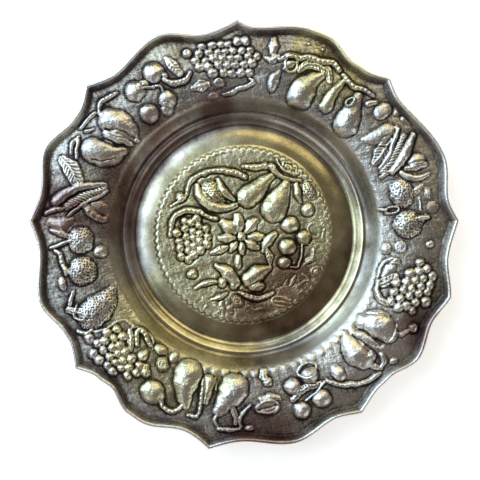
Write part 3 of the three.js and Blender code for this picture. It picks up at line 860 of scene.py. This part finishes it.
def rim_shading(rho, side):
    """The upturned band painted darker all over, painted shade on the outward half of the roll, and a painted
    highlight on the rest of the roll.
    """
    band = smoothstep(rho, BAND_FOOT - 0.5, BAND_FOOT + 1.5) * (side == 1)
    outward = smoothstep(rho, MEAN_RADIUS - 0.9, MEAN_RADIUS - 0.2) * (side == 0)
    return BAND_DARKENING * band + ROLL_PAINTED_SHADE * outward - ROLL_PAINTED_HIGHLIGHT * (side == 0) * (1 - outward)


def on_outside_of_roll(rho, z):
    """True on the outer surface of the roll, and False in the hollow round the wire."""
    centre = MEAN_RADIUS - BEAD_RADIUS
    return math.hypot(rho - centre, z - BEAD_HEIGHT) > BEAD_RADIUS - SHEET / 2


def underside_relief(x, y, rho, side):
    """The hollows behind the embossing: the lowest of the top's heights round each place."""
    below = side == -1
    x, y, rho = x[below], y[below], rho[below]
    steps = [(HOLLOW_REACH, 0), (-HOLLOW_REACH, 0), (0, HOLLOW_REACH), (0, -HOLLOW_REACH)]
    heights = np.zeros(side.shape)
    heights[below] = np.min([embossed(x + dx, y + dy, rho)[0] for dx, dy in steps], axis=0)
    return heights


def mesh_from(name, points, quads, triangles):
    """A mesh in metres from points in millimetres."""
    mesh = bpy.data.meshes.new(name)
    corners = np.concatenate([quads.ravel(), triangles.ravel()])
    starts = np.concatenate([np.arange(len(quads)) * 4, len(quads) * 4 + np.arange(len(triangles)) * 3])
    totals = np.concatenate([np.full(len(quads), 4), np.full(len(triangles), 3)])
    mesh.vertices.add(len(points))
    mesh.vertices.foreach_set("co", (points * MM).ravel())
    mesh.loops.add(len(corners))
    mesh.loops.foreach_set("vertex_index", corners)
    mesh.polygons.add(len(totals))
    mesh.polygons.foreach_set("loop_start", starts)
    mesh.polygons.foreach_set("loop_total", totals)
    mesh.polygons.foreach_set("use_smooth", np.ones(len(totals), bool))
    mesh.update(calc_edges=True)
    mesh.validate()
    return mesh


def blurred(values, edges, passes):
    """Each point's value averaged again and again with its neighbours' values."""
    a, b = edges.T
    count = np.bincount(a, minlength=len(values)) + np.bincount(b, minlength=len(values))
    for _ in range(passes):
        total = np.bincount(a, values[b], len(values)) + np.bincount(b, values[a], len(values))
        values = 0.5 * values + 0.5 * total / count
    return values


UNDERSIDE_SHADE_SHARE = 0.35  # the share of the top's patina and painted shade that the underside's hollows get
PLAIN_START = (84, 88)  # from the middle of the medallion
PLAIN_END = (124, 130)
# Blurring passes for the fine and the broad recess, which the material paints as patina and painted shade.
RECESS_SHADE_PASSES = (("recess_fine", 6), ("recess_broad", 60))


def plainness(points):
    """1 on the plain rings between medallion and flange, where the sheet is smooth and still shines."""
    x, y = points[:, 0], points[:, 1]
    from_middle = np.hypot(x - MEDALLION[0], y - MEDALLION[1])
    return smoothstep(from_middle, *PLAIN_START) * (1 - smoothstep(np.hypot(x, y), *PLAIN_END))


def store_shade_grime_and_plainness(mesh, z, side, grime_and_rim_shading, plain):
    """Stores how sunken each point is against the sheet round it, which the material paints as patina and
    painted shade, its grime and painted rim shading, and its plainness.
    """
    edges = np.empty(len(mesh.edges) * 2, int)
    mesh.edges.foreach_get("vertices", edges)
    edges = edges.reshape(-1, 2)
    facing = np.where(side < 0, -UNDERSIDE_SHADE_SHARE, 1)
    stored = {name: (blurred(z, edges, passes) - z) * facing for name, passes in RECESS_SHADE_PASSES}
    for name, values in {**stored, "grime_and_rim_shading": grime_and_rim_shading, "plain": plain}.items():
        mesh.attributes.new(name, "FLOAT", "POINT").data.foreach_set("value", values)


# ---- Materials ----


def new_material(name):
    material = bpy.data.materials.new(name)
    material.use_nodes = True
    nodes = material.node_tree.nodes
    return material, nodes, material.node_tree.links, nodes["Principled BSDF"]


# Colours from the high places to the recesses, darkened partly by patina and partly as painted shade: where
# the brass is silvery grey, and where it is yellow.
SILVERY = ((0, (0.88, 0.88, 0.86)), (0.35, (0.67, 0.645, 0.585)), (0.52, (0.45, 0.425, 0.365)),
           (0.74, (0.15, 0.125, 0.12)), (1, (0.035, 0.028, 0.030)))
YELLOW = ((0, (0.92, 0.91, 0.66)), (0.35, (0.74, 0.71, 0.44)), (0.52, (0.47, 0.42, 0.245)),
          (0.74, (0.17, 0.135, 0.080)), (1, (0.040, 0.032, 0.022)))

# Places painted yellow rather than silvery: the middle of each place in metres, and its reach. The one on the
# south-west wall is a painted warm reflection.
YELLOW_PLACES = (((0.010, -0.006, 0), 0.116), ((-0.060, -0.100, 0.01), 0.075),
                 ((0.080, 0.158, 0.025), 0.045))

# A painted sheen on the south-east flange, painted lighter and made glossier as a stand-in for a highlight:
# the middle in metres, its reach, and how much less dark it is painted.
PAINTED_SHEEN_PLACE = (0.108, -0.098, 0.02)
PAINTED_SHEEN_REACH = 0.06
PAINTED_SHEEN_LIFT = 0.4

# Violet-brown stains: the middle of each in metres, and its reach.
STAINS = (((-0.114, 0.050, 0.01), 0.036), ((-0.124, 0.012, 0.01), 0.036), ((-0.080, 0.094, 0.01), 0.036),
          ((-0.030, 0.120, 0.01), 0.030), ((0.045, -0.050, 0.0), 0.060),
          ((0.005, -0.078, 0.0), 0.034), ((0.168, -0.090, 0.03), 0.034),
          ((-0.176, 0.020, 0.02), 0.045), ((0.015, -0.190, 0.02), 0.050))
STAIN_TINT = (0.54, 0.41, 0.42)

# The edge of each kind of place: the share of its reach that is solid, and its raggedness as noise.
YELLOW_EDGE = (0.8, 22.0, 0.03)
PAINTED_SHEEN_EDGE = (0.3, 60.0, 0.03)
STAIN_EDGE = (0.3, 40.0, 0.04)

# Noise: its scale, and how far it swings.
SPECKLE = (750.0, 1.1)
BLOTCHES = (28.0, 1.1)
YELLOWING = (15.0, 1.9)

# Sunken places are painted darker: the fine recess as patina and painted shade, the broad recess as painted
# shade over whole hollows.
DEEPEST_FINE_RECESS = 0.5
BROAD_RECESS_SHARE = 0.36
CLEAN_LEVEL = 0.37  # where clean metal lies on the colours above
DIRT_AND_SHADE_LEVEL = 0.8  # how much further along them each unit of dirt and painted shade is
PLAIN_LEVEL = 0.14  # the plain rings are this much darker,
PLAIN_SPECKLE_LESS = 0.75  # less speckled,
PLAIN_DIRT_LESS = 0.25  # glossier
PLAIN_BUMP_LESS = 0.35  # and smoother
DIRT_RANGE = (-0.25, 0.9)  # from the glossiest place to the dullest
ROUGHNESS = (0.22, 0.60)
BUMP_STRENGTH = 0.5
BUMP_DEPTH = 0.0004
FINE_BUMPS = (1400.0, 3.0)  # the scale and the detail of their noise
COARSE_BUMPS = (260.0, 2.0)
COARSE_SHARE = 1.5


def aged_brass():
    """Worn brass: bright on the high places, yellow or silvery in between, and dark brown in the recesses;
    the brightness and darkness are partly wear and patina, partly painted highlight and painted shade.
    """
    material, nodes, links, shader = new_material("aged_brass")
    shader.inputs["Metallic"].default_value = 1.0

    def put(socket, value):
        if isinstance(value, bpy.types.NodeSocket):
            links.new(value, socket)
        else:
            socket.default_value = value

    def maths(operation, a, b=0.0):
        made = nodes.new("ShaderNodeMath")
        made.operation = operation
        put(made.inputs[0], a)
        put(made.inputs[1], b)
        return made.outputs[0]

    def attribute(name):
        made = nodes.new("ShaderNodeAttribute")
        made.attribute_name = name
        return made.outputs["Fac"]

    place = nodes.new("ShaderNodeTexCoord").outputs["Object"]

    def noise(scale, detail=4.0):
        made = nodes.new("ShaderNodeTexNoise")
        put(made.inputs["Scale"], scale)
        put(made.inputs["Detail"], detail)
        put(made.inputs["Roughness"], 0.6)
        put(made.inputs["Vector"], place)
        return made.outputs["Fac"]

    def away_from(point):
        made = nodes.new("ShaderNodeVectorMath")
        made.operation = "DISTANCE"
        put(made.inputs[0], place)
        put(made.inputs[1], point)
        return made.outputs["Value"]

    def mapped(value, start, end, first, last, kind="LINEAR"):
        """Runs from the first number to the last while the value runs from the start to the end."""
        made = nodes.new("ShaderNodeMapRange")
        made.interpolation_type = kind
        put(made.inputs["Value"], value)
        for name, number in (("From Min", start), ("From Max", end), ("To Min", first), ("To Max", last)):
            put(made.inputs[name], number)
        return made.outputs["Result"]

    def swing(scale, size):
        """Noise that swings about 0."""
        return maths("MULTIPLY", maths("SUBTRACT", noise(scale), 0.5), size)

    def patch(point, reach, solid, scale, size):
        """1 round a point, falling to 0 at its reach with a ragged edge."""
        distance = maths("ADD", away_from(point), swing(scale, size))
        return mapped(distance, solid * reach, reach, 1.0, 0.0, "SMOOTHSTEP")

    def ramp(stops, value):
        made = nodes.new("ShaderNodeValToRGB")
        elements = made.color_ramp.elements
        for element, (position, colour) in zip(elements, (stops[0], stops[-1])):
            element.position, element.color = position, (*colour, 1)
        for position, colour in stops[1:-1]:
            elements.new(position).color = (*colour, 1)
        put(made.inputs["Fac"], value)
        return made.outputs["Color"]

    def mixed(kind, factor, a, b):
        made = nodes.new("ShaderNodeMix")
        made.data_type, made.blend_type = "RGBA", kind
        put(made.inputs["Factor"], factor)
        put(made.inputs["A"], a)
        put(made.inputs["B"], b)
        return made.outputs["Result"]

    # Sunken places painted darker: the fine recess as patina and painted shade, the broad recess as painted
    # shade over whole hollows.
    fine = maths("MINIMUM", attribute("recess_fine"), DEEPEST_FINE_RECESS)
    broad = maths("MULTIPLY", attribute("recess_broad"), BROAD_RECESS_SHARE)
    recess = maths("ADD", maths("ADD", fine, broad), attribute("grime_and_rim_shading"))
    # A painted sheen: the patch on the south-east flange is painted lighter and made glossier.
    painted_sheen = patch(PAINTED_SHEEN_PLACE, PAINTED_SHEEN_REACH, *PAINTED_SHEEN_EDGE)
    recess = maths("SUBTRACT", recess, maths("MULTIPLY", painted_sheen, PAINTED_SHEEN_LIFT))
    plain = attribute("plain")
    speckled = maths("SUBTRACT", 1.0, maths("MULTIPLY", plain, PLAIN_SPECKLE_LESS))
    speckle = maths("MULTIPLY", swing(*SPECKLE), speckled)
    # Besides noise dirt, this carries the painted shade of recesses and rim, the rim's painted highlight and
    # the painted sheen.
    dirt_and_shade = maths("ADD", maths("ADD", recess, speckle), swing(*BLOTCHES))
    clean = maths("ADD", maths("MULTIPLY", plain, PLAIN_LEVEL), CLEAN_LEVEL)
    level = maths("ADD", maths("MULTIPLY", dirt_and_shade, DIRT_AND_SHADE_LEVEL), clean)

    yellow = swing(*YELLOWING)
    for point, reach in YELLOW_PLACES:
        yellow = maths("ADD", yellow, patch(point, reach, *YELLOW_EDGE))
    yellow.node.use_clamp = True
    colour = mixed("MIX", yellow, ramp(SILVERY, level), ramp(YELLOW, level))
    for point, reach in STAINS:
        colour = mixed("MULTIPLY", patch(point, reach, *STAIN_EDGE), colour, (*STAIN_TINT, 1))
    put(shader.inputs["Base Color"], colour)

    dullness = maths("SUBTRACT", dirt_and_shade, maths("MULTIPLY", plain, PLAIN_DIRT_LESS))
    put(shader.inputs["Roughness"], mapped(dullness, *DIRT_RANGE, *ROUGHNESS))

    bump = nodes.new("ShaderNodeBump")
    put(bump.inputs["Strength"], maths("SUBTRACT", BUMP_STRENGTH, maths("MULTIPLY", plain, PLAIN_BUMP_LESS)))
    put(bump.inputs["Distance"], BUMP_DEPTH)
    coarse = maths("MULTIPLY", noise(*COARSE_BUMPS), COARSE_SHARE)
    put(bump.inputs["Height"], maths("ADD", noise(*FINE_BUMPS), coarse))
    put(shader.inputs["Normal"], bump.outputs["Normal"])
    return material


BARE_STEEL = (0.30, 0.29, 0.27, 1)
RUST = (0.20, 0.13, 0.08, 1)


def steel_wire():
    """Dull drawn wire."""
    material, nodes, links, shader = new_material("steel_wire")
    shader.inputs["Metallic"].default_value = 1.0
    spots = nodes.new("ShaderNodeTexNoise")
    spots.inputs["Scale"].default_value = 400.0
    ramp = nodes.new("ShaderNodeValToRGB")
    for element, colour in zip(ramp.color_ramp.elements, (BARE_STEEL, RUST)):
        element.color = colour
    links.new(spots.outputs["Fac"], ramp.inputs["Fac"])
    links.new(ramp.outputs["Color"], shader.inputs["Base Color"])
    shader.inputs["Roughness"].default_value = 0.5
    return material


# ---- Pieces ----


def make_sheet():
    points, quads, triangles, side, grime_and_rim_shading = make_skin()
    mesh = mesh_from("embossed_sheet", points, quads, triangles)
    store_shade_grime_and_plainness(mesh, points[:, 2], side, grime_and_rim_shading, plainness(points))
    mesh.materials.append(aged_brass())
    sheet = bpy.data.objects.new("embossed_sheet", mesh)
    bpy.context.scene.collection.objects.link(sheet)
    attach(sheet, "root")
    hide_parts("tray_sheet")


FLOOR_SIZE = 6.0
FLOOR_DROP = 0.0005  # below the resting plane
FLOOR_COLOUR = (0.95, 0.95, 0.95, 1)
FLOOR_GLOW = 0.55  # keeps the floor as pale as white paper under soft light


def make_stage():
    """A plain pale floor under the tray."""
    bpy.ops.mesh.primitive_plane_add(size=FLOOR_SIZE, location=(0, 0, -FLOOR_DROP))
    floor = bpy.context.object
    floor.name = "floor"
    material, _, _, shader = new_material("floor_paper")
    shader.inputs["Base Color"].default_value = FLOOR_COLOUR
    shader.inputs["Roughness"].default_value = 0.9
    shader.inputs["Emission Color"].default_value = (1, 1, 1, 1)
    shader.inputs["Emission Strength"].default_value = FLOOR_GLOW
    floor.data.materials.append(material)


# Lights aimed at the middle of the tray: name, place, size, watts, colour.
LIGHTS = [
    ("window", (-1.25, 0.74, 0.95), (2.0, 1.8), 23, (0.60, 0.80, 1.0)),
    ("skylight", (-0.85, 0.5, 1.5), (1.5, 1.4), 8.5, (0.70, 0.86, 1.0)),
    ("lamp", (0.5, 1.2, 1.0), (1.2, 1.2), 6, (1.0, 0.87, 0.52)),
    ("fill", (-0.9, -1.2, 0.9), (1.2, 0.8), 2.0, (0.98, 0.95, 0.88)),
    ("bounce", (1.1, -1.0, 0.6), (1.2, 0.7), 2.5, (0.90, 0.96, 0.90)),
]
WORLD_COLOUR = (0.17, 0.145, 0.135, 1)


def add_light(name, place, size, power, colour):
    data = bpy.data.lights.new(name, "AREA")
    data.shape = "RECTANGLE"
    data.size, data.size_y = size
    data.energy = power
    data.color = colour
    lamp = bpy.data.objects.new(name, data)
    lamp.location = place
    lamp.rotation_euler = (-Vector(place)).to_track_quat("-Z", "Y").to_euler()
    bpy.context.scene.collection.objects.link(lamp)


def make_lights():
    world = bpy.data.worlds.new("studio")
    world.use_nodes = True
    world.node_tree.nodes["Background"].inputs["Color"].default_value = WORLD_COLOUR
    bpy.context.scene.world = world
    for light in LIGHTS:
        add_light(*light)


CAMERA_PLACE = (-0.0200, -0.0500, 0.728)
CAMERA_TARGET = (-0.0048, -0.0087, 0.028)
CAMERA_LENS = 56.67
CAMERA_SENSOR = 36


def make_camera():
    data = bpy.data.cameras.new("camera")
    data.lens = CAMERA_LENS
    data.sensor_width = CAMERA_SENSOR
    data.clip_start = 0.01
    camera = bpy.data.objects.new("camera", data)
    camera.location = CAMERA_PLACE
    back = (Vector(CAMERA_PLACE) - Vector(CAMERA_TARGET)).normalized()
    right = Vector((0, 1, 0)).cross(back).normalized()
    camera.rotation_euler = Matrix((right, back.cross(right), back)).transposed().to_euler()
    bpy.context.scene.collection.objects.link(camera)
    bpy.context.scene.camera = camera


make_camera()
make_sheet()
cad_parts["rim_wire"].data.materials.clear()
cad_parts["rim_wire"].data.materials.append(steel_wire())
make_stage()
make_lights()
bpy.context.scene.view_settings.view_transform = "Standard"
